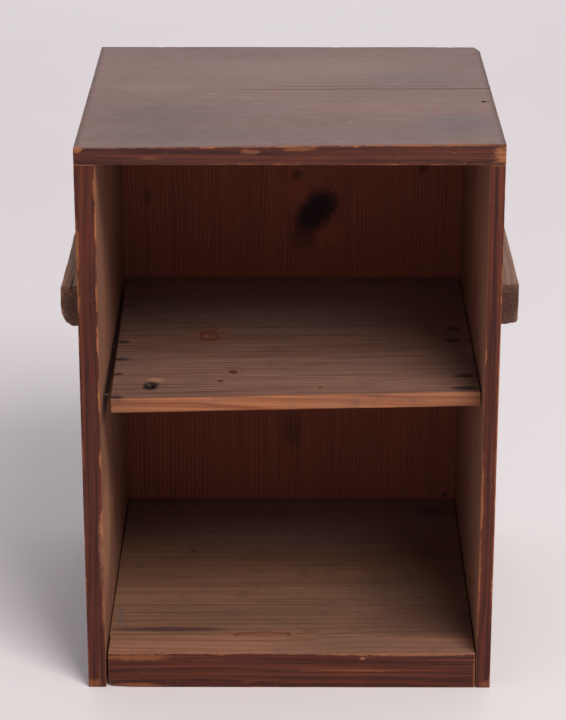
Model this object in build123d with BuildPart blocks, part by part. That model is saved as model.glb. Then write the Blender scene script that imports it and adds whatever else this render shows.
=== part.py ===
from build123d import *
import os

# Miniature wardrobe: a small open-fronted box of nailed softwood boards with one
# fixed shelf. Two sides carry the top, the shelf, the floor and a square rail under
# the opening, a thin board closes the back, and a rounded batten runs front to back
# along the outside of each side.
#
# Millimetres. X runs to the right, Y runs from the open front to the back, Z is up.
# The origin is under the middle of the box, at the height that it stands on.

# Carcass
box_width = 192.0
box_depth = 184.5
side_height = 259.6
back_thickness = 4.5
right_side_thickness = 6.9
left_side_thickness_at_floor = 8.6
left_side_thickness_at_top = 9.7

# The top is a little thicker at its right front corner, and its back corner is worn
top_thickness_front_left = 7.6
top_thickness_front_right = 9.8
top_thickness_back = 8.7
top_worn_corner_x = 2.6
top_worn_corner_y = 8.6

# The shelf is warped: its left front corner has dropped
shelf_thickness = 7.2
shelf_setback = 13.0
shelf_top_front_left = 143.1
shelf_top_front_right = 147.0
shelf_top_back = 146.2
shelf_gap_front_left = 3.6
shelf_gap_back_left = 1.2
end_gap = 0.4

# Rail and floor, whose upper faces meet
rail_height = 18.0
rail_depth = 19.0
rail_gap_left = 0.9
floor_thickness = 8.0
floor_top_front = 18.2
floor_top_back = 20.0

# Battens: the left one sits a little lower and is the more worn
batten_thickness = 8.8
batten_height = 19.4
batten_setback = 12.0
left_batten_bottom = 179.2
left_batten_lower_radius = 3.6
left_batten_upper_radius = 2.2
right_batten_bottom = 180.4
right_batten_lower_radius = 2.4
right_batten_upper_radius = 0.9

# Panel pins with small flat heads
nail_radius = 0.65
nail_head_radius = 1.1
nail_head_thickness = 0.5
nail_point_length = 2.0
nail_point_radius = 0.15

half_width = box_width / 2
front_y = -box_depth / 2
back_y = box_depth / 2
back_inner_y = back_y - back_thickness
shelf_front_y = front_y + shelf_setback
floor_front_y = front_y + rail_depth
right_inner_x = half_width - right_side_thickness
left_inner_x_at_floor = left_side_thickness_at_floor - half_width
left_inner_x_at_top = left_side_thickness_at_top - half_width


def front_section(y):
    """The upright plane across the box at this depth, with X to the right and Z up."""
    return Plane.XZ.offset(-y)


def left_inner_x(z):
    """The left side's inner face leans: its place in X at this height."""
    return left_inner_x_at_floor + (left_inner_x_at_top - left_inner_x_at_floor) * z / side_height


def shelf_middle_z(top_front, y):
    """Mid-thickness of the shelf's end whose upper face starts at this height in front."""
    run = (y - shelf_front_y) / (back_inner_y - shelf_front_y)
    return top_front + (shelf_top_back - top_front) * run - shelf_thickness / 2


def floor_middle_z(y):
    """Mid-thickness of the sloping floor at this depth."""
    run = (y - floor_front_y) / (back_inner_y - floor_front_y)
    return floor_top_front + (floor_top_back - floor_top_front) * run - floor_thickness / 2


def drive_nails(surface, spots, length):
    """Nails driven square into a face, each at its own spot, heads flush."""
    hang = (Align.CENTER, Align.CENTER, Align.MAX)
    with BuildPart(surface) as nails:
        with Locations(*[(u, v) for u, v in spots]):
            Cylinder(radius=nail_head_radius, height=nail_head_thickness, align=hang)
            Cylinder(radius=nail_radius, height=length - nail_point_length, align=hang)
        with Locations(*[(u, v, nail_point_length - length) for u, v in spots]):
            Cone(
                bottom_radius=nail_point_radius,
                top_radius=nail_radius,
                height=nail_point_length,
                align=hang,
            )
    return nails


# Faces that the nails are driven into, each with its own two axes named beside it
left_face = Plane(origin=(-half_width, 0, 0), x_dir=(0, -1, 0), z_dir=(-1, 0, 0))  # (-Y, Z)
right_face = Plane(origin=(half_width, 0, 0), x_dir=(0, 1, 0), z_dir=(1, 0, 0))  # (Y, Z)
rear_face = Plane(origin=(0, back_y, 0), x_dir=(-1, 0, 0), z_dir=(0, 1, 0))  # (-X, Z)

# Nails through the top into the sides' upper edges. The top's upper face is not
# level, so each row starts at the height of that face over its own side.
top_nail_depths = [front_y + 14, front_y + 75, front_y + 124, back_inner_y - 12]
top_nail_length = 25.0
top_nail_sink = 0.6
left_edge_x = -half_width + left_side_thickness_at_top / 2
right_edge_x = half_width - right_side_thickness / 2
top_left_height = side_height + top_thickness_front_left - top_nail_sink
top_right_height = side_height + top_thickness_back - top_nail_sink

top_nails_left = drive_nails(
    Plane.XY.offset(top_left_height), [(left_edge_x, y) for y in top_nail_depths], top_nail_length
)
top_nails_right = drive_nails(
    Plane.XY.offset(top_right_height), [(right_edge_x, y) for y in top_nail_depths], top_nail_length
)

# Nails through the sides into the ends of the shelf
shelf_nail_depths = [shelf_front_y + 14, shelf_front_y + 75, back_inner_y - 40]
shelf_nail_length = 24.0

shelf_nails_left = drive_nails(
    left_face,
    [(-y, shelf_middle_z(shelf_top_front_left, y)) for y in shelf_nail_depths],
    shelf_nail_length,
)
shelf_nails_right = drive_nails(
    right_face,
    [(y, shelf_middle_z(shelf_top_front_right, y)) for y in shelf_nail_depths],
    shelf_nail_length,
)

# Nails through the sides into the ends of the floor
floor_nail_depths = [floor_front_y + 20, floor_front_y + 75, back_inner_y - 30]
floor_nail_length = 24.0

floor_nails_left = drive_nails(
    left_face, [(-y, floor_middle_z(y)) for y in floor_nail_depths], floor_nail_length
)
floor_nails_right = drive_nails(
    right_face, [(y, floor_middle_z(y)) for y in floor_nail_depths], floor_nail_length
)

# Nails through the sides into the ends of the rail, two to each end
rail_nail_spots = [(front_y + 6, 12.5), (front_y + 13, 5.5)]
rail_nail_length = 24.0

rail_nails_left = drive_nails(left_face, [(-y, z) for y, z in rail_nail_spots], rail_nail_length)
rail_nails_right = drive_nails(right_face, rail_nail_spots, rail_nail_length)

# Nails through the back board into the sides' back edges and the floor's back edge
back_nail_heights = [36, 104, 172, 240]
back_nail_length = 19.0
left_back_edge_x = -half_width + left_side_thickness_at_floor / 2
back_floor_nail_z = 16.0
back_floor_nail_x = [-58, 0, 58]

back_nails_left = drive_nails(
    rear_face, [(-left_back_edge_x, z) for z in back_nail_heights], back_nail_length
)
back_nails_right = drive_nails(
    rear_face, [(-right_edge_x, z) for z in back_nail_heights], back_nail_length
)
back_nails_floor = drive_nails(
    rear_face, [(-x, back_floor_nail_z) for x in back_floor_nail_x], back_nail_length
)

# Nails through the battens into the sides, too short to come out inside the box
batten_nail_depths = [front_y + 34, 0, back_inner_y - 34]
left_batten_nail_z = left_batten_bottom + batten_height / 2
right_batten_nail_z = right_batten_bottom + batten_height / 2
batten_nail_length = 14.0

batten_nails_left = drive_nails(
    left_face.offset(batten_thickness),
    [(-y, left_batten_nail_z) for y in batten_nail_depths],
    batten_nail_length,
)
batten_nails_right = drive_nails(
    right_face.offset(batten_thickness),
    [(y, right_batten_nail_z) for y in batten_nail_depths],
    batten_nail_length,
)

# Top board: two end sections joined by ruled faces, so that its upper face twists
top_z = side_height
with BuildPart() as top_board:
    with BuildSketch(front_section(front_y)):
        with BuildLine():
            Polyline(
                (-half_width, top_z),
                (half_width, top_z),
                (half_width, top_z + top_thickness_front_right),
                (-half_width, top_z + top_thickness_front_left),
                close=True,
            )
        make_face()
    with BuildSketch(front_section(back_y)):
        with BuildLine():
            Polyline(
                (-half_width, top_z),
                (half_width, top_z),
                (half_width, top_z + top_thickness_back),
                (-half_width, top_z + top_thickness_back),
                close=True,
            )
        make_face()
    loft(ruled=True)
    back_right_edge = top_board.edges().filter_by(Axis.Z).group_by(Axis.Y)[-1].sort_by(Axis.X)[-1]
    right_end = top_board.faces().sort_by(Axis.X)[-1]
    chamfer(back_right_edge, length=top_worn_corner_y, length2=top_worn_corner_x, reference=right_end)
    # The heads are sunk, in holes that are open to the upper face
    for nail_row in (top_nails_left, top_nails_right):
        add(nail_row.part, mode=Mode.SUBTRACT)
    for x, height in ((left_edge_x, top_left_height), (right_edge_x, top_right_height)):
        with BuildSketch(Plane.XY.offset(height)):
            with Locations(*[(x, y) for y in top_nail_depths]):
                Circle(nail_head_radius)
        extrude(amount=top_thickness_back, mode=Mode.SUBTRACT)

# Left side: its inner face leans, so the board is thicker at the top
with BuildPart() as left_side:
    with BuildSketch(front_section(front_y)):
        with BuildLine():
            Polyline(
                (-half_width, 0),
                (left_inner_x_at_floor, 0),
                (left_inner_x_at_top, side_height),
                (-half_width, side_height),
                close=True,
            )
        make_face()
    extrude(amount=-(back_inner_y - front_y))
    for nail_row in (
        top_nails_left,
        shelf_nails_left,
        floor_nails_left,
        rail_nails_left,
        back_nails_left,
        batten_nails_left,
    ):
        add(nail_row.part, mode=Mode.SUBTRACT)

# Right side
with BuildPart() as right_side:
    with BuildSketch(front_section(front_y)):
        with Locations((half_width, 0)):
            Rectangle(right_side_thickness, side_height, align=(Align.MAX, Align.MIN))
    extrude(amount=-(back_inner_y - front_y))
    for nail_row in (
        top_nails_right,
        shelf_nails_right,
        floor_nails_right,
        rail_nails_right,
        back_nails_right,
        batten_nails_right,
    ):
        add(nail_row.part, mode=Mode.SUBTRACT)

# Back board: behind the sides and the floor, under the top
with BuildPart() as back_board:
    with BuildSketch(front_section(back_y)):
        Rectangle(box_width, side_height, align=(Align.CENTER, Align.MIN))
    extrude(amount=back_thickness)
    for nail_row in (back_nails_left, back_nails_right, back_nails_floor):
        add(nail_row.part, mode=Mode.SUBTRACT)

# Shelf: the same ruled form as the top, short of the left side by a narrow wedge
shelf_left_x_front = left_inner_x(shelf_top_front_left) + shelf_gap_front_left
shelf_left_x_back = left_inner_x(shelf_top_back) + shelf_gap_back_left
shelf_right_x = right_inner_x - end_gap
with BuildPart() as shelf:
    with BuildSketch(front_section(shelf_front_y)):
        with BuildLine():
            Polyline(
                (shelf_left_x_front, shelf_top_front_left - shelf_thickness),
                (shelf_right_x, shelf_top_front_right - shelf_thickness),
                (shelf_right_x, shelf_top_front_right),
                (shelf_left_x_front, shelf_top_front_left),
                close=True,
            )
        make_face()
    with BuildSketch(front_section(back_inner_y)):
        with BuildLine():
            Polyline(
                (shelf_left_x_back, shelf_top_back - shelf_thickness),
                (shelf_right_x, shelf_top_back - shelf_thickness),
                (shelf_right_x, shelf_top_back),
                (shelf_left_x_back, shelf_top_back),
                close=True,
            )
        make_face()
    loft(ruled=True)
    for nail_row in (shelf_nails_left, shelf_nails_right):
        add(nail_row.part, mode=Mode.SUBTRACT)

# Floor: drops a little towards the rail
floor_left_x = left_inner_x(floor_top_back) + end_gap
floor_right_x = right_inner_x - end_gap
with BuildPart() as floor_board:
    with BuildSketch(Plane.YZ.offset(floor_left_x)):
        with BuildLine():
            Polyline(
                (floor_front_y, floor_top_front - floor_thickness),
                (back_inner_y, floor_top_back - floor_thickness),
                (back_inner_y, floor_top_back),
                (floor_front_y, floor_top_front),
                close=True,
            )
        make_face()
    extrude(amount=floor_right_x - floor_left_x)
    for nail_row in (floor_nails_left, floor_nails_right, back_nails_floor):
        add(nail_row.part, mode=Mode.SUBTRACT)

# Front rail: a square strip under the opening
rail_left_x = left_inner_x(rail_height) + rail_gap_left
rail_right_x = right_inner_x - end_gap
with BuildPart() as front_rail:
    with BuildSketch(front_section(front_y)):
        with Locations((rail_right_x, 0)):
            Rectangle(rail_right_x - rail_left_x, rail_height, align=(Align.MAX, Align.MIN))
    extrude(amount=-rail_depth)
    for nail_row in (rail_nails_left, rail_nails_right):
        add(nail_row.part, mode=Mode.SUBTRACT)


def make_batten(side, bottom, lower_radius, upper_radius, nail_row):
    """A batten on the outside of one side (-1 left, 1 right), its outer arrises rounded."""
    with BuildPart() as batten:
        with BuildSketch(front_section(front_y + batten_setback)):
            with Locations((side * (half_width + batten_thickness / 2), bottom)):
                Rectangle(batten_thickness, batten_height, align=(Align.CENTER, Align.MIN))
        extrude(amount=-(back_inner_y - front_y - 2 * batten_setback))
        outer_face = batten.faces().sort_by(Axis.X)[-1 if side > 0 else 0]
        long_edges = outer_face.edges().filter_by(Axis.Y).sort_by(Axis.Z)
        fillet(long_edges[0], radius=lower_radius)
        outer_face = batten.faces().sort_by(Axis.X)[-1 if side > 0 else 0]
        long_edges = outer_face.edges().filter_by(Axis.Y).sort_by(Axis.Z)
        fillet(long_edges[-1], radius=upper_radius)
        add(nail_row.part, mode=Mode.SUBTRACT)
    return batten


left_batten = make_batten(
    -1, left_batten_bottom, left_batten_lower_radius, left_batten_upper_radius, batten_nails_left
)
right_batten = make_batten(
    1, right_batten_bottom, right_batten_lower_radius, right_batten_upper_radius, batten_nails_right
)

pieces = {
    "top_board": top_board,
    "left_side": left_side,
    "right_side": right_side,
    "back_board": back_board,
    "shelf": shelf,
    "floor_board": floor_board,
    "front_rail": front_rail,
    "left_batten": left_batten,
    "right_batten": right_batten,
    "top_nails_left": top_nails_left,
    "top_nails_right": top_nails_right,
    "shelf_nails_left": shelf_nails_left,
    "shelf_nails_right": shelf_nails_right,
    "floor_nails_left": floor_nails_left,
    "floor_nails_right": floor_nails_right,
    "rail_nails_left": rail_nails_left,
    "rail_nails_right": rail_nails_right,
    "back_nails_left": back_nails_left,
    "back_nails_right": back_nails_right,
    "back_nails_floor": back_nails_floor,
    "batten_nails_left": batten_nails_left,
    "batten_nails_right": batten_nails_right,
}

os.makedirs("parts", exist_ok=True)
for name, piece in pieces.items():
    piece.part.label = name
    export_step(piece.part, f"parts/{name}.step")
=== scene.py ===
"""Looks of the miniature wardrobe: worn, hand-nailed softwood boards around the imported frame.

Every board is rebuilt as a fine mesh between the corners of its own CAD node, with worn arrises,
chips, dents and cuts, and gets a solid wood material whose growth rings run through the board.
Places and sizes below are in millimetres of the row frame unless a comment says otherwise.
"""

import math
from dataclasses import dataclass
from itertools import product

import bpy
import numpy as np
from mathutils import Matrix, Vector


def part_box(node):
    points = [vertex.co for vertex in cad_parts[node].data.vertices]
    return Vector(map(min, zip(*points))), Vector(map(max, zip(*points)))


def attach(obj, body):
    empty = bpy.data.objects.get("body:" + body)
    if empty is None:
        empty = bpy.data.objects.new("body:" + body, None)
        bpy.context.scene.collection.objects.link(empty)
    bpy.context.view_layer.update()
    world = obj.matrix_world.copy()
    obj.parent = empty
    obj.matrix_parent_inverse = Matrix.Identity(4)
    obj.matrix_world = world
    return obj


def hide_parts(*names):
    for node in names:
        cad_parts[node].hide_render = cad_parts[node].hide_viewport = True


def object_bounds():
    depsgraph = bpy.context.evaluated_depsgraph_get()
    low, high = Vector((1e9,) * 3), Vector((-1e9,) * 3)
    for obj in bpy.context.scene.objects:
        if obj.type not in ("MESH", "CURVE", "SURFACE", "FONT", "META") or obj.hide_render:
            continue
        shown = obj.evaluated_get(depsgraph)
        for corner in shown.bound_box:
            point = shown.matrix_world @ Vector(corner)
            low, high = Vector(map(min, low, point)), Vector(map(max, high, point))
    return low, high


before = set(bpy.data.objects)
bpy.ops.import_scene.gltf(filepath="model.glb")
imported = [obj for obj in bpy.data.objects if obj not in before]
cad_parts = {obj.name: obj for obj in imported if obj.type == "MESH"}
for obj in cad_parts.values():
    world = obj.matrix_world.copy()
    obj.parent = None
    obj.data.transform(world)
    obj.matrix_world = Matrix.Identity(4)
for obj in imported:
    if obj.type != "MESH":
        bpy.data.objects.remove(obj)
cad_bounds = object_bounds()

MM = 0.001
AXES = {"X": 0, "Y": 1, "Z": 2}
CUBE = tuple(product((0, 1), repeat=3))  # the eight corners of a cell or a board


# ---------------------------------------------------------------- numbers from the frame


def cad_points(node):
    """The vertices of a CAD node."""
    return np.array([v.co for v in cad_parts[node].data.vertices], float) / MM


def node_box(node):
    """Lowest and highest corner of a CAD node."""
    low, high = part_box(node)
    return np.array(low) / MM, np.array(high) / MM


def board_corners(node):
    """The eight corners of a six-sided CAD board, indexed [x end][y end][z end]."""
    points = cad_points(node)
    corners = np.zeros((2, 2, 2, 3))
    for corner in CUBE:
        direction = 2 * np.array(corner) - 1
        corners[corner] = points[np.argmax(points @ direction)]
    return corners


def box_corners(low, high):
    """The eight corners of a straight box, indexed as those of a board."""
    corners = np.zeros((2, 2, 2, 3))
    for corner in CUBE:
        corners[corner] = np.where(corner, high, low)
    return corners


def nail_places(node, axis, apart=4):
    """Where each nail of a group is: the middle of its head's outer face."""
    points = cad_points(node)
    across = [a for a in (0, 1, 2) if a != axis]
    groups = []
    for point in points:
        for group in groups:
            if np.hypot(*(group[0][across] - point[across])) < apart:
                group.append(point)
                break
        else:
            groups.append([point])
    places = []
    for group in groups:
        group = np.array(group)
        middle = (group.min(0) + group.max(0)) / 2
        outer = group[:, axis].max() if middle[axis] > 0 else group[:, axis].min()
        middle[axis] = outer
        places.append(middle)
    return places


# ---------------------------------------------------------------- mesh tools

HASH_PRIMES = (73856093, 19349663, 83492791)
SEED_PRIME = 2654435761
SCRAMBLE_PRIME = 1274126177
NOISE_ORIGIN = 1000.5  # keeps every cell's number positive

# Grid lines near a board's ends, and round a hole or a scored line
NEAR_END = np.array([0, 0.15, 0.35, 0.6, 0.95, 1.4, 2.0, 2.8])
NEAR_FEATURE = np.array([-1.9, -1.5, -1.2, -0.9, -0.6, -0.3, 0, 0.3, 0.6, 0.9, 1.2, 1.5, 1.9])
CLOSEST_LINES = 0.12

WANDER_CELL = (9, 9, 9)  # how the arris radius changes along an edge
CHIP_CELL = (3.2, 3.2, 3.2)
CHIP_DEPTH = 0.7
WAVE_CELL = (34, 34, 34)  # the slow waves of a hand-planed face
RIPPLE_CELL = (5, 5, 5)
BREAK_CELL = (2.5, 2.5, 2.5)
BREAK_DEPTH = 0.5
GROOVE_RUN_OUT = 12
FACES = ("-X", "-Y", "-Z", "+X", "+Y", "+Z")
TINY = 1e-9


def smooth_noise(points, cell, seed):
    """Value noise from 0 to 1 at each point, with one random value per cell."""
    scaled = points / np.array(cell, float) + NOISE_ORIGIN
    base = np.floor(scaled).astype(np.int64)
    part = scaled - base
    part = part * part * (3 - 2 * part)
    total = np.zeros(len(points))
    for corner in CUBE:
        x, y, z = (base + np.array(corner)).T
        mixed = (x * HASH_PRIMES[0]) ^ (y * HASH_PRIMES[1]) ^ (z * HASH_PRIMES[2]) ^ (seed * SEED_PRIME)
        mixed = (mixed ^ (mixed >> 13)) * SCRAMBLE_PRIME & 0xFFFFFFFF
        value = ((mixed ^ (mixed >> 16)) & 0xFFFF) / 65535.0
        nearness = np.where(corner, part, 1 - part)
        total += nearness[:, 0] * nearness[:, 1] * nearness[:, 2] * value
    return total


def smoothstep(low, high, value):
    t = np.clip((value - low) / (high - low), 0, 1)
    return t * t * (3 - 2 * t)


def grid_lines(length, step, features=()):
    """Grid lines along one edge: close at both ends and round each feature."""
    lines = [NEAR_END, length - NEAR_END, np.linspace(0, length, max(2, round(length / step) + 1))]
    lines += [NEAR_FEATURE + feature for feature in features]
    ordered = np.unique(np.clip(np.concatenate(lines), 0, length))
    kept = [0.0]
    for line in ordered[1:]:
        if line - kept[-1] > CLOSEST_LINES:
            kept.append(line)
    kept[-1] = length
    return np.array(kept)


def box_shell(lines):
    """Points and outward quads on the surface of a grid of lines along X, Y and Z."""
    shape = [len(line) for line in lines]
    shell = np.zeros(shape, bool)
    for axis in (0, 1, 2):
        for end in (0, -1):
            np.moveaxis(shell, axis, 0)[end] = True
    index = np.full(shape, -1)
    index[shell] = np.arange(shell.sum())
    places = np.nonzero(shell)
    points = np.stack([lines[axis][places[axis]] for axis in (0, 1, 2)], axis=1)
    quads = []
    for axis in (0, 1, 2):
        for end in (0, -1):
            face = np.take(index, end, axis=axis)
            ring = [face[:-1, :-1], face[1:, :-1], face[1:, 1:], face[:-1, 1:]]
            if (end == -1) == (axis == 1):
                ring.reverse()
            quads.append(np.stack(ring, axis=-1).reshape(-1, 4))
    return points, np.concatenate(quads)


def edge_lengths(corners):
    """A board's mean length along X, Y and Z."""
    edges = [np.diff(corners, axis=axis) for axis in (0, 1, 2)]
    return np.array([np.linalg.norm(edge, axis=-1).mean() for edge in edges])


def face_data(points, size, stained):
    """For each point: how far the nearest arris is, its share of stained faces, its way out."""
    to_faces = np.concatenate([points, size - points], axis=1)
    arris_distance = np.sort(to_faces, axis=1)[:, 1]
    on_face = to_faces < 1e-6
    has_finish = on_face & np.array([face in stained.split() for face in FACES])
    outward = on_face[:, 3:].astype(float) - on_face[:, :3].astype(float)
    outward /= np.maximum(np.linalg.norm(outward, axis=1, keepdims=True), TINY)
    return arris_distance, has_finish.sum(1) / on_face.sum(1), outward


def round_arrises(points, size, radius, seed):
    """Pull points in to worn arrises: the radius wanders, with a chip here and there."""
    wander = smooth_noise(points, WANDER_CELL, seed)
    chips = smoothstep(0.74, 0.9, smooth_noise(points, CHIP_CELL, seed + 1))
    radius = radius * (0.5 + wander) + CHIP_DEPTH * chips * smoothstep(0.45, 0.8, wander)
    radius = np.minimum(radius, size.min() * 0.48)[:, None]
    inner = np.clip(points, radius, size - radius)
    offset = points - inner
    length = np.linalg.norm(offset, axis=1, keepdims=True)
    return inner + offset * np.minimum(1, radius / np.maximum(length, TINY))


def plane_by_hand(points, outward, unevenness, seed):
    """Hand-planed faces are a little uneven, always inwards from the true face."""
    sink = unevenness * smooth_noise(points, WAVE_CELL, seed + 2)
    sink = sink + 0.3 * unevenness * smooth_noise(points, RIPPLE_CELL, seed + 3)
    return points - outward * sink[:, None]


def between_corners(points, size, corners):
    """Points of a straight box, taken into the board's real, slightly crooked shape."""
    u, v, w = (points / size).T
    placed = np.zeros_like(points)
    for i, j, k in CUBE:
        share = (u if i else 1 - u) * (v if j else 1 - v) * (w if k else 1 - w)
        placed += share[:, None] * corners[i, j, k]
    return placed


def press_dents(placed, outward, dents):
    for x, y, z, radius, depth in dents:
        reach = np.linalg.norm(placed - np.array([x, y, z]), axis=1)
        sink = depth * (1 - smoothstep(0.45, 1.0, reach / radius))
        placed = placed - outward * sink[:, None]
    return placed


def score_grooves(placed, outward, grooves):
    for first, last, y, half_width, depth in grooves:
        begun = smoothstep(first, first + GROOVE_RUN_OUT, placed[:, 0])
        ended = smoothstep(last - GROOVE_RUN_OUT, last, placed[:, 0])
        near = 1 - smoothstep(0.3, 1.0, np.abs(placed[:, 1] - y) / half_width)
        placed[:, 2] -= depth * np.clip(begun - ended, 0, 1) * near * np.clip(outward[:, 2], 0, 1)
    return placed


def cut_back(placed, cuts, seed):
    """Flatten what stands past each plane, with a ragged surface where it broke."""
    for at, normal in cuts:
        normal = np.array(normal, float) / np.linalg.norm(normal)
        ragged = BREAK_DEPTH * smooth_noise(placed, BREAK_CELL, seed + 4)
        beyond = np.maximum(0, (placed - np.array(at)) @ normal + ragged)
        placed = placed - beyond[:, None] * normal
    return placed


def board_object(name, placed, quads, material, attributes):
    mesh = bpy.data.meshes.new(name)
    mesh.from_pydata((placed * MM).tolist(), [], quads.tolist())
    mesh.shade_smooth()
    for label, values in attributes.items():
        attribute = mesh.attributes.new(label, "FLOAT", "POINT")
        attribute.data.foreach_set("value", values.astype(np.float32))
    mesh.materials.append(material)
    board = bpy.data.objects.new(name, mesh)
    bpy.context.collection.objects.link(board)
    return board


def make_board(
    name,
    node,
    material,
    stained,
    corners=None,
    step=1.6,
    arris=0.45,
    arris_at=None,
    unevenness=0.12,
    dents=(),
    cuts=(),
    grooves=(),
    features=((), (), ()),
    seed=1,
):
    """A worn board between eight corners, standing for a CAD node.

    stained: faces with the finish on them, as in "-X +Z". arris_at(points, size, radius) gives the
    arris radius where it isn't the usual one. dents are (x, y, z, radius, depth). cuts are planes
    (point, outward normal) that worn corners are cut back to. grooves are scored lines along X in
    the upper face: (first x, last x, y, half width, depth). features are the places along X, Y and
    Z that need a closer grid.
    """
    if corners is None:
        corners = board_corners(node)
    size = edge_lengths(corners)
    low = corners.reshape(-1, 3).min(0)
    lines = [grid_lines(size[a], step, [f - low[a] for f in features[a]]) for a in (0, 1, 2)]
    points, quads = box_shell(lines)
    arris_distance, finish, outward = face_data(points, size, stained)

    radius = np.full(len(points), float(arris))
    if arris_at is not None:
        radius = arris_at(points, size, radius)
    points = round_arrises(points, size, radius, seed)
    points = plane_by_hand(points, outward, unevenness, seed)
    placed = between_corners(points, size, corners)
    placed = press_dents(placed, outward, dents)
    placed = score_grooves(placed, outward, grooves)
    placed = cut_back(placed, cuts, seed)

    attributes = {"arris": arris_distance, "finish": finish, "up": outward[:, 2]}
    board = board_object(name, placed, quads, material, attributes)
    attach(board, "root")
    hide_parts(node)


# ---------------------------------------------------------------- material tools


class Graph:
    """A material's node tree, with short calls for the nodes that the materials need."""

    def __init__(self, name):
        self.material = bpy.data.materials.new(name)
        self.material.use_nodes = True
        self.tree = self.material.node_tree
        self.tree.nodes.clear()
        self.shader = self.node("ShaderNodeBsdfPrincipled")
        output = self.node("ShaderNodeOutputMaterial")
        self.tree.links.new(self.shader.outputs[0], output.inputs["Surface"])

    def node(self, kind, **settings):
        made = self.tree.nodes.new(kind)
        for key, value in settings.items():
            setattr(made, key, value)
        return made

    def feed(self, socket, value):
        """Link a socket or set a constant."""
        if isinstance(value, bpy.types.NodeSocket):
            self.tree.links.new(value, socket)
        elif value is not None:
            socket.default_value = value

    def place_mm(self):
        """The point being shaded, in millimetres of the row frame."""
        place = self.node("ShaderNodeTexCoord").outputs["Object"]
        return self.vector("MULTIPLY", place, (1 / MM,) * 3)

    def math(self, operation, a, b=None, c=None, clamp=False):
        made = self.node("ShaderNodeMath", operation=operation, use_clamp=clamp)
        for socket, value in zip(made.inputs, (a, b, c)):
            self.feed(socket, value)
        return made.outputs[0]

    def vector(self, operation, a, b=None):
        made = self.node("ShaderNodeVectorMath", operation=operation)
        for socket, value in zip(made.inputs, (a, b)):
            self.feed(socket, value)
        return made.outputs["Value" if operation == "LENGTH" else "Vector"]

    def noise(self, place, scale=1.0, detail=2.0, roughness=0.5):
        made = self.node("ShaderNodeTexNoise")
        self.feed(made.inputs["Vector"], place)
        made.inputs["Scale"].default_value = scale
        made.inputs["Detail"].default_value = detail
        made.inputs["Roughness"].default_value = roughness
        return made.outputs["Fac"]

    def remap(self, value, low, high, to_low=0.0, to_high=1.0):
        made = self.node("ShaderNodeMapRange", interpolation_type="SMOOTHSTEP")
        for socket, number in zip(made.inputs, (value, low, high, to_low, to_high)):
            self.feed(socket, number)
        return made.outputs[0]

    def mix(self, amount, a, b, blend="MIX"):
        """Mix two colours, each a socket or red, green and blue."""
        made = self.node("ShaderNodeMix", data_type="RGBA", blend_type=blend)
        self.feed(made.inputs["Factor"], amount)
        colours = [s for s in made.inputs if s.type == "RGBA"]
        for socket, value in zip(colours, (a, b)):
            if not isinstance(value, bpy.types.NodeSocket):
                value = (*value, 1.0)
            self.feed(socket, value)
        return [s for s in made.outputs if s.type == "RGBA"][0]

    def attribute(self, name):
        return self.node("ShaderNodeAttribute", attribute_name=name).outputs["Fac"]

    def bump(self, height, strength, distance):
        """Relief from a height, with its distance in metres."""
        made = self.node("ShaderNodeBump")
        made.inputs["Strength"].default_value = strength
        made.inputs["Distance"].default_value = distance
        self.feed(made.inputs["Height"], height)
        self.feed(self.shader.inputs["Normal"], made.outputs[0])


# Wood colours, linear
BARE_EARLY = (0.37, 0.182, 0.122)
BARE_LATE = (0.20, 0.085, 0.045)
BARE_SHEEN = (0.42, 0.27, 0.17)
GRIME = (0.10, 0.065, 0.05)
WORN = (0.37, 0.130, 0.048)
STAIN = (0.090, 0.0175, 0.0095)
STAIN_DARK = (0.033, 0.0075, 0.0055)
STAIN_GLOW = (0.170, 0.043, 0.0175)
IRON_STAIN = (0.020, 0.014, 0.017)
# Painted shade: near-black for the inside of holes, where shade falls
HOLE_SHADE = (0.008, 0.005, 0.005)
HOLE_TONE = 0.015  # a spot darker than this is a hole
KNOT_HALO = (4.2, 2.6, 2.0)  # how much lighter than a knot the wood round it is

# Noises drawn out along the grain: cell along it, cell across it, detail, roughness
GRAIN_NOISES = {
    "slow": (130, 45, 1.0, 0.5),
    "medium": (45, 9, 2.0, 0.5),
    "fibre": (45, 0.42, 3.0, 0.6),
    "fine": (7, 0.16, 2.0, 0.55),
    "cloud": (70, 26, 3.0, 0.55),
    "streaky": (130, 1.7, 2.0, 0.55),
    "streaks": (95, 2.8, 2.0, 0.55),
    "flecks": (3.4, 1.1, 3.0, 0.6),
    "scuffs": (17, 3.5, 4.0, 0.7),
    "specks": (2.2, 0.9, 1.0, 0.5),
    "dust": (110, 75, 3.0, 0.45),
}
# Noises alike in all directions: scale per mm, detail, roughness
EVEN_NOISES = {
    "blotch": (0.11, 4.0, 0.6),
    "wear": (0.045, 3.0, 0.5),
    "knot": (0.22, 1.0, 0.5),
}
# What makes the stain uneven, in order: noise, where it starts and is full, strength, colour
STAIN_LAYERS = (
    ("streaks", 0.42, 0.66, 0.82, STAIN_DARK),
    ("streaky", 0.46, 0.70, 0.5, STAIN_GLOW),
    ("fibre", 0.50, 0.74, 0.45, STAIN_GLOW),
    ("scuffs", 0.60, 0.72, 0.45, STAIN_GLOW),
    ("cloud", 0.42, 0.72, 0.3, STAIN_DARK),
)
SEED_STEPS = (37.0, 61.0, 83.0)  # where a seed takes a board's noise
SLOW_PUSH, MEDIUM_PUSH = 9.0, 1.3  # how far the noises push the rings about
LATEWOOD_RISE = (0.25, 0.86)  # shares of one ring over which the latewood darkens
LATEWOOD_DROP = (0.88, 1.0)
WEAR_WIDTHS = (0.28, 1.5)  # narrowest and widest rubbed strip along an arris
BARE_ROUGHNESS = 0.62
BUMP_STRENGTH, BUMP_DISTANCE = 0.55, 0.00018


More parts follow.
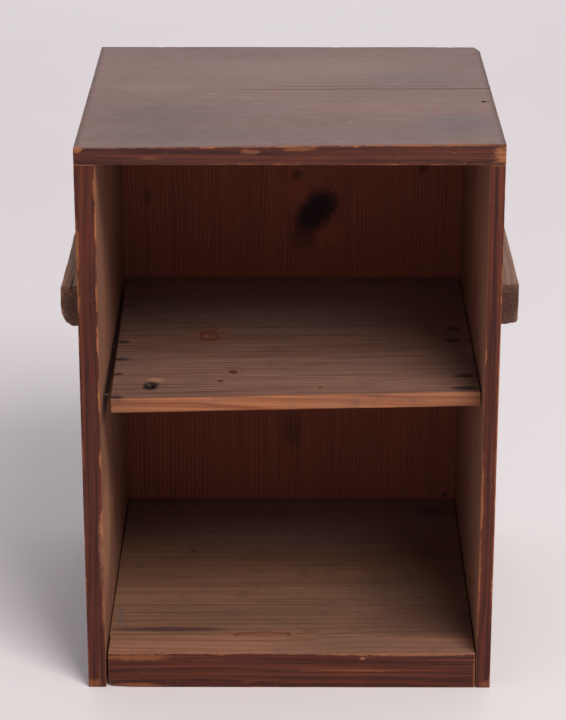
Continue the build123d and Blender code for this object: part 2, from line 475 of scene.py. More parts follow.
@dataclass
class Look:
    """What sets one board's wood apart.

    pith is the place, across the grain, of the axis that the growth rings stand round, and lean is
    how far it wanders per mm of grain. fresh is a cleaner face: (axis, place, depth, early, late).
    bare_patches are (place, radii, strength), knots (place, radii, tone, core strength) and spots
    (place, radii, strength, colour). veil is dust on an upper face: (colour, amount).
    """

    pith: tuple
    ring: float = 2.2
    lean: float = 0.02
    early: tuple = BARE_EARLY
    late: tuple = BARE_LATE
    ring_strength: float = 0.7
    streak: float = 0.35
    fresh: tuple = None
    grime: tuple = GRIME
    grime_amount: float = 0.25
    stain: tuple = STAIN
    worn: tuple = WORN
    wear: float = 1.0
    bare_patches: tuple = ()
    knots: tuple = ()
    spots: tuple = ()
    veil: tuple = None
    finish_roughness: float = 0.5
    patchiness: float = 0.16
    specular: float = 0.22


class WoodGraph(Graph):
    """The node tree of a wood whose grain runs along one axis."""

    def __init__(self, name, along, seed):
        super().__init__(name)
        self.place = self.place_mm()
        split = self.node("ShaderNodeSeparateXYZ")
        self.feed(split.inputs[0], self.place)
        self.xyz = split.outputs
        self.grain = AXES[along]
        self.across = [axis for axis in (0, 1, 2) if axis != self.grain]
        self.shifted = self.vector("ADD", self.place, tuple(step * seed for step in SEED_STEPS))
        self.noises = {}

    def named(self, name):
        """One of the wood's noises, made once and shared."""
        if name not in self.noises:
            if name in EVEN_NOISES:
                scale, detail, roughness = EVEN_NOISES[name]
                made = self.noise(self.shifted, scale, detail, roughness)
            else:
                along_cell, across_cell, detail, roughness = GRAIN_NOISES[name]
                cells = [1 / across_cell] * 3
                cells[self.grain] = 1 / along_cell
                drawn_out = self.vector("MULTIPLY", self.shifted, tuple(cells))
                made = self.noise(drawn_out, 1.0, detail, roughness)
            self.noises[name] = made
        return self.noises[name]

    def swing(self, name):
        """A named noise less its middle, so about -0.5 to 0.5."""
        return self.math("SUBTRACT", self.named(name), 0.5)

    def reach(self, centre, radii, noise, raggedness):
        """How far a point is from a centre, counted in radii, with a ragged outline."""
        away = self.vector("DIVIDE", self.vector("SUBTRACT", self.place, centre), radii)
        return self.math("MULTIPLY_ADD", self.swing(noise), raggedness, self.vector("LENGTH", away))


def growth_rings(g, look, knot_reaches):
    """Latewood, from 0 to 1: rings round the wandering pith, bent outwards round each knot."""
    run, a, b = (g.xyz[axis] for axis in (g.grain, *g.across))
    da = g.math("SUBTRACT", a, g.math("MULTIPLY_ADD", run, look.lean, look.pith[0]))
    db = g.math("SUBTRACT", b, look.pith[1])
    radius = g.math("SQRT", g.math("ADD", g.math("MULTIPLY", da, da), g.math("MULTIPLY", db, db)))
    radius = g.math("MULTIPLY_ADD", g.swing("slow"), SLOW_PUSH, radius)
    radius = g.math("MULTIPLY_ADD", g.swing("medium"), MEDIUM_PUSH, radius)
    for reach, (_, radii, _, _) in zip(knot_reaches, look.knots):
        bend = g.remap(reach, 0.6, 3.4, 1.0, 0.0)
        radius = g.math("MULTIPLY_ADD", bend, 0.9 * max(radii[g.across[0]], 2.0), radius)
    rings = g.math("DIVIDE", radius, look.ring)
    phase = g.math("FRACT", rings)
    rise = g.remap(phase, *LATEWOOD_RISE)
    latewood = g.math("MULTIPLY", rise, g.remap(phase, *LATEWOOD_DROP, 1.0, 0.0))
    which = g.node("ShaderNodeTexWhiteNoise", noise_dimensions="1D")
    g.feed(which.inputs["W"], g.math("FLOOR", rings))
    return g.math("MULTIPLY", latewood, g.math("MULTIPLY_ADD", which.outputs["Value"], 0.6, 0.5))


def bare_wood(g, look, latewood):
    """Aged wood with no finish. One face may have kept a fresher colour."""
    early, late = look.early, look.late
    if look.fresh is not None:
        axis, at, depth, fresh_early, fresh_late = look.fresh
        on_fresh = g.remap(g.xyz[AXES[axis]], at + 0.3 * depth, at + depth, 1.0, 0.0)
        early = g.mix(on_fresh, early, fresh_early)
        late = g.mix(on_fresh, late, fresh_late)
    colour = g.mix(g.math("MULTIPLY", latewood, look.ring_strength), early, late)
    colour = g.mix(g.remap(g.named("streaky"), 0.44, 0.70, 0.0, look.streak), colour, late)
    colour = g.mix(g.remap(g.named("fibre"), 0.35, 0.75, 0.0, 0.34), colour, late)
    for dirt, low, high in (("cloud", 0.30, 0.72), ("blotch", 0.52, 0.74)):
        colour = g.mix(g.remap(g.named(dirt), low, high, 0.0, look.grime_amount), colour, look.grime)
    return g.mix(g.remap(g.named("fine"), 0.3, 0.7, 0.0, 0.25), colour, BARE_SHEEN, "SOFT_LIGHT")


def stained_wood(g, look, latewood):
    """Red-brown stain, taken up unevenly and scuffed since."""
    colour = g.mix(g.math("MULTIPLY", latewood, 0.95), look.stain, STAIN_DARK)
    for noise, low, high, strength, tone in STAIN_LAYERS:
        colour = g.mix(g.remap(g.named(noise), low, high, 0.0, strength), colour, tone)
    return colour


def worn_wood(g, look, latewood):
    """What shows where the stain is gone."""
    dark = tuple(c * 0.45 for c in look.worn)
    colour = g.mix(g.math("MULTIPLY", latewood, 0.6), look.worn, dark)
    return g.mix(g.remap(g.named("fibre"), 0.4, 0.70, 0.0, 0.6), colour, dark)


def rubbed_off(g, look, arris):
    """Where the stain is gone: along the arrises, in the board's bare patches, and in specks."""
    width = g.remap(g.named("wear"), 0.5, 0.74, *WEAR_WIDTHS)
    ragged_arris = g.math("MULTIPLY_ADD", g.swing("flecks"), 1.5, arris)
    rubbed = g.remap(g.math("DIVIDE", ragged_arris, width), 0.15, 0.95, look.wear, 0.0)
    for centre, radii, strength in look.bare_patches:
        patch = g.remap(g.reach(centre, radii, "flecks", 1.7), 0.45, 1.1, strength, 0.0)
        rubbed = g.math("MAXIMUM", rubbed, patch)
    return g.math("MAXIMUM", rubbed, g.remap(g.named("specks"), 0.74, 0.80, 0.0, 0.55))


def veiled(g, look, arris, stained):
    """Years of dust and handling: a greyish, cloudy veil over the stain of an upper face."""
    tone, amount = look.veil
    on_top = g.remap(g.attribute("up"), 0.5, 0.9)
    flat = g.remap(arris, 0.5, 3.0)
    dusted = g.remap(g.named("dust"), 0.3, 0.7, 0.66 * amount, amount)
    dusted = g.math("MULTIPLY", dusted, g.remap(g.named("fibre"), 0.3, 0.75, 1.08, 0.86))
    return g.mix(g.math("MULTIPLY", dusted, g.math("MULTIPLY", flat, on_top)), stained, tone)


def knotted(g, look, knot_reaches, colour):
    """Knots: a dark rim, rings inside it and a warm halo outside."""
    for reach, (_, _, tone, core_strength) in zip(knot_reaches, look.knots):
        core = g.remap(reach, 0.75, 1.15, core_strength, 0.0)
        from_rim = g.math("ABSOLUTE", g.math("SUBTRACT", reach, 0.95))
        core = g.math("MAXIMUM", core, g.remap(from_rim, 0.03, 0.28, 0.65, 0.0))
        halo = g.remap(reach, 0.9, 2.1, 0.4, 0.0)
        knot_ring = g.math("FRACT", g.math("MULTIPLY", reach, 3.6))
        inside = g.mix(g.remap(knot_ring, 0.4, 0.9), tone, tuple(c * 0.6 for c in tone))
        colour = g.mix(halo, colour, tuple(c * h for c, h in zip(tone, KNOT_HALO)))
        colour = g.mix(core, colour, inside)
    return colour


def spotted(g, look, colour):
    """Marks on the wood, with patches of painted light and shade among them, and where holes among them
    leave no gloss.
    """
    matt = 0.0
    for centre, radii, strength, tone in look.spots:
        mask = g.remap(g.reach(centre, radii, "flecks", 0.9), 0.35, 1.15, strength, 0.0)
        colour = g.mix(mask, colour, tone)
        if max(tone) < HOLE_TONE:
            matt = g.math("MAXIMUM", matt, mask)
    return colour, matt


def surface_roughness(g, look, rubbed, finish_on, matt):
    """Satin where there is finish, rougher where it is rubbed off or was never there."""
    dull = g.remap(g.named("blotch"), 0.35, 0.7, -0.4 * look.patchiness, 0.6 * look.patchiness)
    satin = g.math("ADD", g.math("MULTIPLY_ADD", rubbed, 0.22, look.finish_roughness), dull)
    rough = g.math("MULTIPLY_ADD", g.named("fibre"), 0.12, BARE_ROUGHNESS)
    bare_share = g.math("MULTIPLY", rough, g.math("SUBTRACT", 1.0, finish_on))
    blended = g.math("ADD", g.math("MULTIPLY", satin, finish_on), bare_share)
    return g.math("MAXIMUM", blended, matt, clamp=True)


def relief(g, latewood, rubbed):
    """Height of the surface: latewood and fibres stand up, rubbed places lie low."""
    height = g.math("MULTIPLY_ADD", latewood, 0.5, g.math("MULTIPLY", g.named("fibre"), 0.7))
    height = g.math("MULTIPLY_ADD", g.named("fine"), 0.35, height)
    return g.math("MULTIPLY_ADD", rubbed, -0.35, height)


def wood(name, along, seed, **look):
    """Solid softwood with its grain along X, Y or Z, stained where the board has the finish."""
    look = Look(**look)
    g = WoodGraph(name, along, seed)
    arris = g.attribute("arris")
    knot_reaches = [g.reach(centre, radii, "knot", 0.9) for centre, radii, _, _ in look.knots]
    latewood = growth_rings(g, look, knot_reaches)
    worn = worn_wood(g, look, latewood)
    bare_edge = g.math("MULTIPLY_ADD", g.swing("flecks"), 0.9, arris)
    bare_edge = g.remap(bare_edge, 0.05, 0.6, 0.6 * look.wear, 0.0)
    bare = g.mix(bare_edge, bare_wood(g, look, latewood), worn)
    rubbed = rubbed_off(g, look, arris)
    stained = g.mix(rubbed, stained_wood(g, look, latewood), worn)
    if look.veil is not None:
        stained = veiled(g, look, arris, stained)

    ragged_finish = g.math("MULTIPLY_ADD", g.swing("flecks"), 0.35, g.attribute("finish"))
    finish_on = g.remap(ragged_finish, 0.35, 0.65)
    colour = g.mix(finish_on, bare, stained)
    colour = knotted(g, look, knot_reaches, colour)
    colour, matt = spotted(g, look, colour)
    g.feed(g.shader.inputs["Base Color"], colour)
    g.feed(g.shader.inputs["Roughness"], surface_roughness(g, look, rubbed, finish_on, matt))
    g.shader.inputs["Specular IOR Level"].default_value = look.specular
    g.bump(relief(g, latewood, rubbed), BUMP_STRENGTH, BUMP_DISTANCE)
    return g.material


def iron():
    """Oxidised wire nail: dark iron with brown rust in patches and a hammered head."""
    g = Graph("nail_iron")
    place = g.place_mm()
    rust = g.noise(place, scale=1.1, detail=5.0, roughness=0.65)
    pits = g.noise(place, scale=3.2, detail=3.0)
    colour = g.mix(g.remap(rust, 0.42, 0.62), (0.035, 0.030, 0.030), (0.085, 0.035, 0.018))
    g.feed(g.shader.inputs["Base Color"], colour)
    g.feed(g.shader.inputs["Roughness"], g.remap(rust, 0.4, 0.65, 0.42, 0.8))
    g.feed(g.shader.inputs["Metallic"], g.remap(rust, 0.42, 0.6, 0.75, 0.1))
    g.bump(pits, 0.6, 0.0002)
    return g.material


# ---------------------------------------------------------------- the boards

top_low, top_high = node_box("top_board")
front_y, back_y = top_low[1], top_high[1]
left_x, right_x = top_low[0], top_high[0]
side_top = top_low[2]

STAIN_RADII = (3.4, 3.4, 3.4)
DENT_RADIUS, DENT_DEPTH = 3.2, 0.22
THROUGH = 30  # a spot's half length when it goes through a board


def from_front(distance):
    """Y of a place this far behind the box's front."""
    return front_y + distance


def iron_stains(groups, axis, strength=0.75):
    """Iron stain that has bled into the wood round each nail of the groups."""
    places = [place for group in groups for place in nail_places(group, axis)]
    return [(tuple(place), STAIN_RADII, strength, IRON_STAIN) for place in places]


def nail_dents(groups, axis):
    """The shallow dent that driving each nail left in the face."""
    places = [place for group in groups for place in nail_places(group, axis)]
    return [(*place, DENT_RADIUS, DENT_DEPTH) for place in places]


# Darker and paler patches on the top: place across, distance from the front, half lengths, strength, colour
TOP_PATCHES = (
    (-62, 52, 34, 24, 0.55, (0.082, 0.040, 0.033)),
    (-52, 20, 48, 18, 0.55, (0.070, 0.040, 0.036)),
    (40, 14, 70, 12, 0.35, (0.090, 0.062, 0.062)),
    (78, 34, 24, 22, 0.50, (0.065, 0.052, 0.056)),
    (62, 122, 30, 18, 0.30, (0.085, 0.060, 0.060)),
    (-20, 64, 30, 18, 0.25, (0.110, 0.055, 0.046)),
    (-66, 104, 22, 12, 0.30, (0.21, 0.135, 0.115)),
    (10, 140, 60, 26, 0.25, (0.23, 0.135, 0.105)),
)
# Lines scored in the top: first x, last x, distance from the front, half width, depth
TOP_LINES = ((-30, right_x + 14, 99.5, 0.5, 0.22), (-12, 84, 104.5, 0.4, 0.15))
# Dark lines drawn on the top: middle x, distance from the front, half lengths, strength, colour
TOP_STROKES = (
    (54, 99.5, 74, 0.7, 0.85, (0.055, 0.030, 0.026)),
    (30, 104.5, 52, 0.55, 0.7, (0.055, 0.030, 0.026)),
    (-40, 112, 30, 0.5, 0.4, (0.065, 0.035, 0.030)),
)
# Pale scratches on the top: place across, distance from the front, half lengths
TOP_SCRATCHES = (
    (-37, 92, 5, 0.6),
    (-24, 86, 7, 0.5),
    (-16, 74, 2.6, 0.6),
    (6, 66, 2.2, 0.7),
    (28, 40, 1.4, 1.4),
    (-8, 120, 3.2, 0.4),
    (47, 58, 3.4, 0.4),
)
SCRATCH_TONE = (0.34, 0.25, 0.22)


def top_marks(hole, nails):
    """The small hole with painted shade inside, the strokes, the darker and paler patches, the scratches,
    and the filled nail heads of the top.
    """
    z = side_top + 8
    marks = TOP_STROKES + TOP_PATCHES + tuple((*scratch, 0.5, SCRATCH_TONE) for scratch in TOP_SCRATCHES)
    spots = [
        # painted shade inside the small hole
        (hole, (1.7, 2.2, THROUGH), 1.0, HOLE_SHADE),
        ((hole[0] + 2.5, hole[1] - 1, hole[2]), (0.9, 1.4, THROUGH), 0.5, (0.03, 0.02, 0.02)),
    ]
    spots += [((x, from_front(d), z), (rx, ry, THROUGH), share, tone) for x, d, rx, ry, share, tone in marks]
    spots += [((p[0], p[1], z), (1.0, 1.0, 3.0), 0.35, (0.05, 0.03, 0.025)) for p in nails]
    return spots


def build_top():
    """The top: its back right corner is broken off and its arrises are rubbed bare."""
    corners = board_corners("top_board")
    corners[1, 1, :, 0] = right_x
    corners[1, 1, :, 1] = back_y
    nails = nail_places("top_nails_left", 2) + nail_places("top_nails_right", 2)
    filled = [(p[0], p[1], top_high[2] - 1, 1.2, 0.25) for p in nails]
    hole = (right_x - 5.2, from_front(75), side_top + 9.0)
    broken_x, broken_y = 2.6, 8.6
    chip = [((right_x - broken_x, back_y, side_top), (broken_y, broken_x, 0.0))]
    material = wood(
        "top_wood",
        "X",
        pith=(from_front(70), side_top - 52),
        ring=2.6,
        lean=0.035,
        stain=(0.076, 0.0150, 0.0085),
        veil=((0.205, 0.103, 0.077), 0.66),
        finish_roughness=0.44,
        specular=0.28,
        patchiness=0.04,
        bare_patches=[
            ((right_x - 1, front_y, side_top + 5), (5.5, 5, 5), 0.85),
            ((right_x - 40, front_y, side_top + 9.4), (52, 1.2, 0.9), 0.8),
            ((right_x - 92, front_y, side_top + 7.6), (8, 3, 1.3), 0.55),
            ((right_x - 114, front_y, side_top + 6), (5, 3, 1.2), 0.45),
            ((left_x + 1, front_y, side_top + 7.5), (3.5, 6, 2.2), 0.85),
            ((left_x + 34, front_y, side_top + 3), (5, 3, 0.9), 0.3),
            ((left_x, front_y + 50, side_top + 8.6), (0.9, 60, 0.9), 0.8),
            ((right_x, front_y + 60, side_top + 9.4), (0.8, 60, 0.8), 0.6),
        ],
        spots=top_marks(hole, nails),
        seed=1.3,
    )
    make_board(
        "top_board_worn",
        "top_board",
        material,
        stained="-X +X -Y +Y +Z",
        corners=corners,
        cuts=chip,
        dents=filled + [(*hole, 0.8, 1.6)],
        grooves=[(first, last, from_front(d), half, depth) for first, last, d, half, depth in TOP_LINES],
        features=([hole[0]], [hole[1]] + [from_front(line[2]) for line in TOP_LINES], ()),
        seed=11,
    )


SIDE_NAILS = {
    side: [f"{row}_nails_{side}" for row in ("shelf", "floor", "rail")] for side in ("left", "right")
}
# Where handling has rubbed the left side's inner arris bare: heights and half lengths
INNER_RUBS = ((231, 8), (198, 9), (176, 9), (149, 9), (118, 6), (84, 10), (40, 12))
# Painted shadow on the side along the shelf's open end, where the gap lies in shade: depths and heights
SHELF_LINE = ((42, 135.6), (78, 136.1), (115, 136.9), (155, 137.8))
# Colour of that painted shadow
GAP_SHADE = (0.020, 0.012, 0.011)


def inner_arris(z):
    """X of the left side's inner front arris at a height."""
    lower, upper = board_corners("left_side")[1, 0]
    return lower[0] + (upper[0] - lower[0]) * (z - lower[2]) / (upper[2] - lower[2])


def build_left_side():
    """The left side: its inner arris rubbed bare by hands, painted shadow where the shelf gapes, painted
    light low on its inner face.
    """
    material = wood(
        "left_side_wood",
        "Z",
        pith=(left_x + 55, from_front(60)),
        ring=2.4,
        lean=0.012,
        bare_patches=[
            ((left_x, front_y, 220), (1.7, 4, 14), 0.9),
            ((left_x, front_y, 196), (1.3, 4, 9), 0.7),
            ((left_x, front_y, 120), (1.2, 3, 12), 0.5),
            ((left_x + 2, front_y, 2), (5, 4, 3), 0.5),
            ((left_x + 9.4, front_y, 250), (1.3, 3, 8), 0.8),
        ]
        + [((inner_arris(z), front_y, z), (1.25, 3, half), 0.95) for z, half in INNER_RUBS],
        spots=iron_stains(SIDE_NAILS["left"], 0)
        # painted shadow along the gap at the shelf's open end
        + [((inner_arris(z), from_front(d), z), (2.6, 44, 9.5), 0.9, GAP_SHADE) for d, z in SHELF_LINE]
        # painted light: a paler patch low on the inner face, where the light falls on it
        + [((inner_arris(70), from_front(26), 70), (3, 40, 34), 0.45, (0.54, 0.25, 0.145))],
        seed=2.1,
    )
    make_board(
        "left_side_worn",
        "left_side",
        material,
        stained="-X -Y",
        dents=nail_dents(SIDE_NAILS["left"], 0),
        seed=21,
    )


def build_right_side():
    """The right side: one long worn line down its outer arris."""
    material = wood(
        "right_side_wood",
        "Z",
        pith=(right_x - 40, from_front(95)),
        ring=2.1,
        lean=-0.010,
        bare_patches=[
            ((right_x, front_y, 118), (0.75, 0.9, 130), 0.9),
            ((right_x - 6.6, front_y, 96), (1.0, 4, 20), 0.7),
            ((right_x - 6.8, front_y, 60), (0.9, 4, 26), 0.7),
            ((right_x - 1, front_y, 2), (4, 4, 2.5), 0.5),
        ],
        spots=iron_stains(SIDE_NAILS["right"], 0),
        seed=3.7,
    )
    make_board(
        "right_side_worn",
        "right_side",
        material,
        stained="+X -Y",
        dents=nail_dents(SIDE_NAILS["right"], 0),
        seed=31,
    )


BACK_NAILS = ("back_nails_left", "back_nails_right", "back_nails_floor")
BACK_KNOT = (0.022, 0.010, 0.014)


def build_back():
    """The back board, with vertical grain round one large dark knot that leans to the right."""
    inner_y = node_box("back_board")[0][1]
    material = wood(
        "back_wood",
        "Z",
        pith=(-190, inner_y - 80),
        ring=1.75,
        lean=0.03,
        early=(0.34, 0.098, 0.056),
        late=(0.17, 0.044, 0.028),
        grime=(0.13, 0.045, 0.030),
        grime_amount=0.12,
        knots=[((13.5, inner_y, 182), (7.0, THROUGH, 8.5), (0.045, 0.016, 0.017), 0.55)],
        spots=[
            ((3.5, inner_y, 191), (9.0, THROUGH, 8.0), 0.4, (0.34, 0.085, 0.036)),
            ((20.0, inner_y, 171), (11.0, THROUGH, 8.0), 0.4, (0.38, 0.105, 0.042)),
            ((18.0, inner_y, 187), (9.5, THROUGH, 9.0), 0.85, BACK_KNOT),
            ((13.5, inner_y, 182), (9.5, THROUGH, 9.5), 0.75, BACK_KNOT),
            ((9.0, inner_y, 177), (9.0, THROUGH, 9.5), 0.8, BACK_KNOT),
            ((6.5, inner_y, 168), (8.0, THROUGH, 9.0), 0.5, (0.050, 0.018, 0.018)),
            ((4, inner_y, 202), (3.5, 4, 3), 0.6, (0.03, 0.015, 0.015)),
            ((68.5, inner_y, 205), (3, 4, 3), 0.55, (0.03, 0.015, 0.015)),
            # painted shade: a darker patch on the back in the lower compartment, under the shelf
            ((1, inner_y, 60), (7, 3, 14), 0.45, (0.05, 0.018, 0.012)),
            ((-74, inner_y, 190), (3, 3, 5), 0.45, (0.05, 0.02, 0.015)),
            ((83.7, inner_y, 22), (1.6, 3, 1.6), 0.9, (0.01, 0.006, 0.006)),
        ]
        + iron_stains(BACK_NAILS, 1),
        seed=4.4,
    )
    make_board(
        "back_board_worn",
        "back_board",
        material,
        stained="-X +X +Y",
        dents=nail_dents(BACK_NAILS, 1),
        seed=41,
    )


# Iron marks at the shelf's ends: place across, distance from the front, half lengths
SHELF_MARKS = (
    (-81.0, 137, 3.0, 1.6),
    (-81.6, 86, 3.2, 1.4),
    (-81.2, 63, 3.6, 1.5),
    (-81.5, 44, 2.6, 1.3),
    (-80.4, 15, 3.0, 1.6),
    (80.8, 100, 3.2, 1.5),
    (79.8, 83, 3.6, 1.4),
    (82.6, 34, 5.0, 2.0),
    (82.0, 18, 6.0, 2.2),
)


def build_shelf():
    """The warped shelf: grey with handling, knots, a worm hole with painted shade inside, iron marks at its
    ends, and painted light over its shaded rear.
    """
    low, high = node_box("shelf")
    face_z = high[2] - 2
    worm_hole = (-65.2, from_front(28.5), 144.2)
    hole_ends = [worm_hole[1] - 1.8, worm_hole[1] + 1.8]
    knot_tone = (0.075, 0.035, 0.022)
    material = wood(
        "shelf_wood",
        "X",
        pith=(from_front(-150), face_z - 95),
        ring=2.05,
        lean=-0.008,
        early=(0.325, 0.178, 0.128),
        late=(0.110, 0.052, 0.040),
        ring_strength=0.9,
        streak=0.75,
        fresh=("Y", low[1], 1.1, (0.43, 0.172, 0.073), (0.22, 0.060, 0.024)),
        grime=(0.12, 0.078, 0.068),
        grime_amount=0.4,
        knots=[
            ((-39.7, from_front(93), face_z), (4.4, 6.6, THROUGH), (0.085, 0.032, 0.020), 0.12),
            ((-26.9, from_front(44.5), face_z), (2.2, 2.4, THROUGH), knot_tone, 0.9),
            ((-32.5, from_front(33), face_z), (1.3, 1.5, THROUGH), knot_tone, 0.9),
            ((14.7, from_front(22.5), face_z), (1.2, 1.4, THROUGH), knot_tone, 0.6),
        ],
        spots=[
            ((x, from_front(d), face_z), (1.5 * rx, 1.7 * ry, 6), 0.85, IRON_STAIN)
            for x, d, rx, ry in SHELF_MARKS
        ]
        + [
            ((worm_hole[0] + 2, worm_hole[1] + 7, face_z), (4.5, 3.5, 6), 0.55, (0.50, 0.26, 0.15)),
            # painted light: a pale grey-pink tone over the rear of the shelf lifts its shade
            ((0, from_front(158), face_z), (120, 62, 10), 0.45, (0.33, 0.235, 0.235)),
            # painted shade: the worm hole's inside is painted near-black
            (worm_hole, (4.4, 6.6, THROUGH), 1.0, HOLE_SHADE),
            (worm_hole, (3.6, 5.4, THROUGH), 1.0, HOLE_SHADE),
        ],
        seed=5.2,
    )
    make_board(
        "shelf_worn",
        "shelf",
        material,
        stained="",
        arris=0.55,
        dents=[(worm_hole[0], y, worm_hole[2], 2.2, 5.5) for y in hole_ends],
        features=([worm_hole[0]], hole_ends, ()),
        seed=51,
    )


def build_floor():
    """The floor: dull, with one curved grain mark near the rail, painted shade over its right part and
    painted light over its shaded rear.
    """
    material = wood(
        "floor_wood",
        "X",
        pith=(from_front(-20), -62),
        ring=2.0,
        lean=0.02,
        early=(0.27, 0.14, 0.085),
        late=(0.14, 0.065, 0.04),
        grime=(0.10, 0.06, 0.045),
        grime_amount=0.4,
        streak=0.6,
        knots=[((-11.8, from_front(19.5), 17), (12, 3.2, THROUGH), (0.075, 0.036, 0.026), 0.12)],
        spots=[
            ((-58, from_front(25.5), 18), (34, 3.4, 6), 0.7, (0.045, 0.022, 0.026)),
            ((-49, from_front(114), 19), (2.4, 2.0, 6), 0.7, (0.03, 0.015, 0.012)),
            ((75, from_front(162), 19), (9, 7, 8), 0.7, (0.02, 0.018, 0.024)),
            ((-82.6, from_front(40), 18), (2.6, 13, 6), 0.5, (0.12, 0.10, 0.09)),
            # painted shade: darker patches over the right of the floor, where the right side casts its
            # shadow
            ((60, from_front(70), 18), (34, 26, 8), 0.4, (0.07, 0.045, 0.04)),
            ((70, from_front(36), 18), (42, 26, 8), 0.6, (0.090, 0.042, 0.034)),
            # painted light: a pale grey-pink tone over the rear of the floor lifts its shade
            ((0, from_front(160), 18), (120, 50, 10), 0.4, (0.36, 0.245, 0.255)),
        ],
        seed=6.5,
    )
    make_board(
        "floor_board_worn",
        "floor_board",
        material,
        stained="",
        arris=0.4,
        seed=61,
    )


def build_rail():
    """The front rail: stained in front, bare and rubbed on top, its lower left corner rounded."""
    low, high = node_box("front_rail")

    def worn_corner(points, size, radius):
        at_corner = np.exp(-((points[:, 0] / 9) ** 2 + (points[:, 2] / 5) ** 2))
        return radius + 2.2 * at_corner

    material = wood(
        "rail_wood",
        "X",
        pith=(from_front(30), -26),
        ring=2.3,
        lean=0.012,
        bare_patches=[
            ((low[0] + 12, front_y, 1.0), (16, 3, 1.6), 0.45),
            ((low[0] + 14, front_y, high[2] - 2), (18, 3, 2.4), 0.55),
            ((right_x - 45, front_y, high[2]), (46, 3, 1.3), 0.85),
            ((right_x - 61, front_y, high[2] - 2.6), (1.6, 3, 1.1), 0.8),
            ((right_x - 70, front_y, 9), (30, 3, 0.8), 0.4),
            ((right_x - 7.4, front_y, 9), (0.9, 3, 12), 0.7),
        ],
        # painted shade: the right end of the rail's top is darker
        spots=[((right_x - 40, from_front(10), high[2]), (72, 14, 3), 0.45, (0.155, 0.085, 0.055))],
        seed=7.1,
    )
    make_board(
        "front_rail_worn",
        "front_rail",
        material,
        stained="-Y",
        arris=0.5,
        arris_at=worn_corner,
        seed=71,
    )


END_GRAIN = (0.048, 0.016, 0.011)
# Cracks: place, half lengths, strength, colour
BATTEN_CRACKS = {
    "left": [((-99.5, from_front(18), 198.6), (0.8, 13, 2.5), 0.9, (0.030, 0.014, 0.010))],
    "right": [((99.0, from_front(96), 199.8), (0.6, 26, 1.5), 0.6, (0.060, 0.032, 0.024))],
}
# How much more than its usual radius each outer arris is rounded: the lower one, the upper one
BATTEN_ROUNDING = {"left": (4.0, 1.9), "right": (1.8, 0.4)}
# Early and late wood; the left batten's are lighter, painted light that makes up for the shade of the side
# on its top
BATTEN_TONES = {
    "left": ((0.47, 0.235, 0.145), (0.24, 0.115, 0.070)),
    "right": ((0.28, 0.165, 0.115), (0.14, 0.080, 0.056)),
}


def batten_wear(low, high):
    """Planes that the left batten is worn back to: its lower outer arris, its upper front corner."""
    return [
        ((low[0], low[1], low[2] + 5.6), (-5.6, 0.0, -3.2)),
        ((low[0] + 1.0, low[1], low[2] + 2.4), (-1.0, 0.0, -1.6)),
        ((low[0] + 2.2, low[1], high[2]), (-0.7, -0.6, 0.6)),
    ]


def build_batten(side, sign):
    """A rough batten, rounded on its outer arrises, most of all below."""
    node = side + "_batten"
    low, high = node_box(node)

    def rounded(points, size, radius):
        outer = points[:, 0] / size[0] if sign > 0 else 1 - points[:, 0] / size[0]
        upper = points[:, 2] / size[2]
        below, above = BATTEN_ROUNDING[side]
        added = below * (1 - smoothstep(0.3, 0.6, upper)) + above * smoothstep(0.5, 0.8, upper)
        return radius + smoothstep(0.35, 0.65, outer) * added

    nails = [f"batten_nails_{side}"]
    middle_x = (low[0] + high[0]) / 2
    material = wood(
        node + "_wood",
        "Y",
        pith=(middle_x - sign * 14, low[2] - 8),
        ring=1.9,
        lean=0.02,
        early=BATTEN_TONES[side][0],
        late=BATTEN_TONES[side][1],
        grime=(0.20, 0.120, 0.092),
        grime_amount=0.5,
        worn=(0.36, 0.22, 0.14),
        wear=0.8,
        spots=[
            ((middle_x, low[1] - 1, (low[2] + high[2]) / 2), (14, 2.6, 20), 0.92, END_GRAIN),
            *BATTEN_CRACKS[side],
        ]
        + iron_stains(nails, 0, 0.6),
        seed=8.0 + sign,
    )
    make_board(
        node + "_worn",
        node,
        material,
        stained="",
        corners=box_corners(low, high),
        step=0.8,
        arris=0.5,
        arris_at=rounded,
        unevenness=0.2,
        cuts=batten_wear(low, high) if side == "left" else (),
        dents=nail_dents(nails, 0),
        seed=81 + int(sign),
    )


def finish_nails():
    material = iron()
    for name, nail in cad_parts.items():
        if "nails" in name:
            nail.data.materials.clear()
            nail.data.materials.append(material)


build_top()
build_left_side()
build_right_side()
build_back()
build_shelf()
build_floor()
build_rail()
build_batten("left", -1)
build_batten("right", 1)
finish_nails()


# ---------------------------------------------------------------- studio

# Camera: metres from the row's origin, degrees down and to the left, lens in mm
CAMERA_BACK = 1.1924
CAMERA_RIGHT = 0.0014
CAMERA_HEIGHT = 0.5814
CAMERA_PITCH = 20.62
CAMERA_TURN = 0.2255
LENS = 129.0
FLOOR_HALF = 4.0  # metres
FLOOR_TONES = ((0.80, 0.765, 0.775), (0.83, 0.80, 0.81))
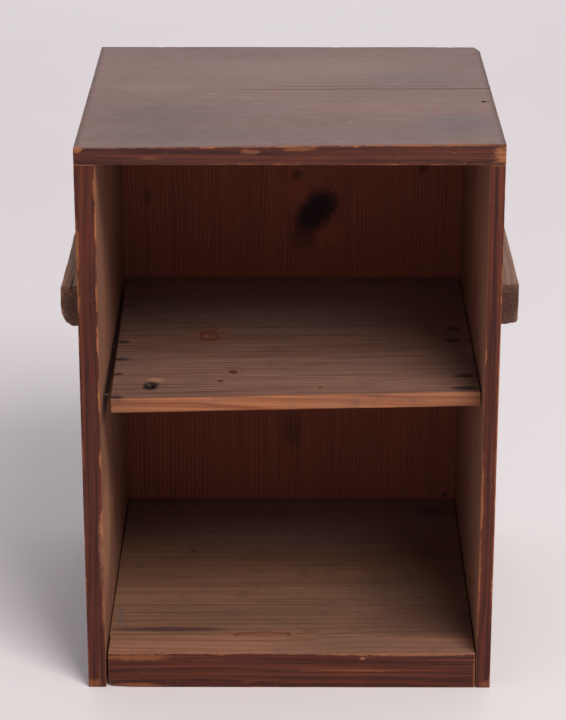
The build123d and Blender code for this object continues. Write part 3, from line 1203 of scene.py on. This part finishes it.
# Soft lights: place and aim (metres), size (metres), power (watts), colour
SOFTBOXES = {
    "key": ((0.66, -1.15, 1.68), (0, 0, 0.13), 0.9, 33, (1.0, 0.955, 0.92)),
    "wall": ((0.0, 1.5, 0.9), (0, 0, 0.25), 1.6, 5.5, (1.0, 0.97, 0.98)),
}
SKY_COLOUR = (1.0, 0.95, 1.0, 1.0)
SKY_STRENGTH = 0.42


def studio_floor():
    g = Graph("studio_floor")
    mottle = g.noise(g.node("ShaderNodeTexCoord").outputs["Object"], scale=6.0, detail=3.0)
    g.feed(g.shader.inputs["Base Color"], g.mix(mottle, *FLOOR_TONES))
    g.shader.inputs["Roughness"].default_value = 0.75
    ground = float(cad_bounds[0][2])
    around = ((-1, -1), (1, -1), (1, 1), (-1, 1))
    mesh = bpy.data.meshes.new("studio_floor")
    mesh.from_pydata([(FLOOR_HALF * x, FLOOR_HALF * y, ground) for x, y in around], [], [(0, 1, 2, 3)])
    mesh.materials.append(g.material)
    floor = bpy.data.objects.new("studio_floor", mesh)
    bpy.context.collection.objects.link(floor)


def softbox(name, place, aim, size, power, colour):
    light = bpy.data.lights.new(name, "AREA")
    light.shape = "SQUARE"
    light.size = size
    light.energy = power
    light.color = colour
    lamp = bpy.data.objects.new(name, light)
    lamp.location = place
    lamp.rotation_euler = (Vector(aim) - Vector(place)).to_track_quat("-Z", "Y").to_euler()
    bpy.context.collection.objects.link(lamp)


def sky():
    world = bpy.data.worlds.new("studio")
    world.use_nodes = True
    background = world.node_tree.nodes["Background"]
    background.inputs["Color"].default_value = SKY_COLOUR
    background.inputs["Strength"].default_value = SKY_STRENGTH
    bpy.context.scene.world = world
    bpy.context.scene.view_settings.view_transform = "Standard"


def studio_camera():
    data = bpy.data.cameras.new("camera")
    data.sensor_width = 36.0
    data.lens = LENS
    camera = bpy.data.objects.new("camera", data)
    camera.location = (CAMERA_RIGHT, -CAMERA_BACK, CAMERA_HEIGHT)
    camera.rotation_euler = (math.radians(90 - CAMERA_PITCH), 0.0, math.radians(CAMERA_TURN))
    bpy.context.collection.objects.link(camera)
    bpy.context.scene.camera = camera


studio_floor()
for name, settings in SOFTBOXES.items():
    softbox(name, *settings)
sky()
studio_camera()
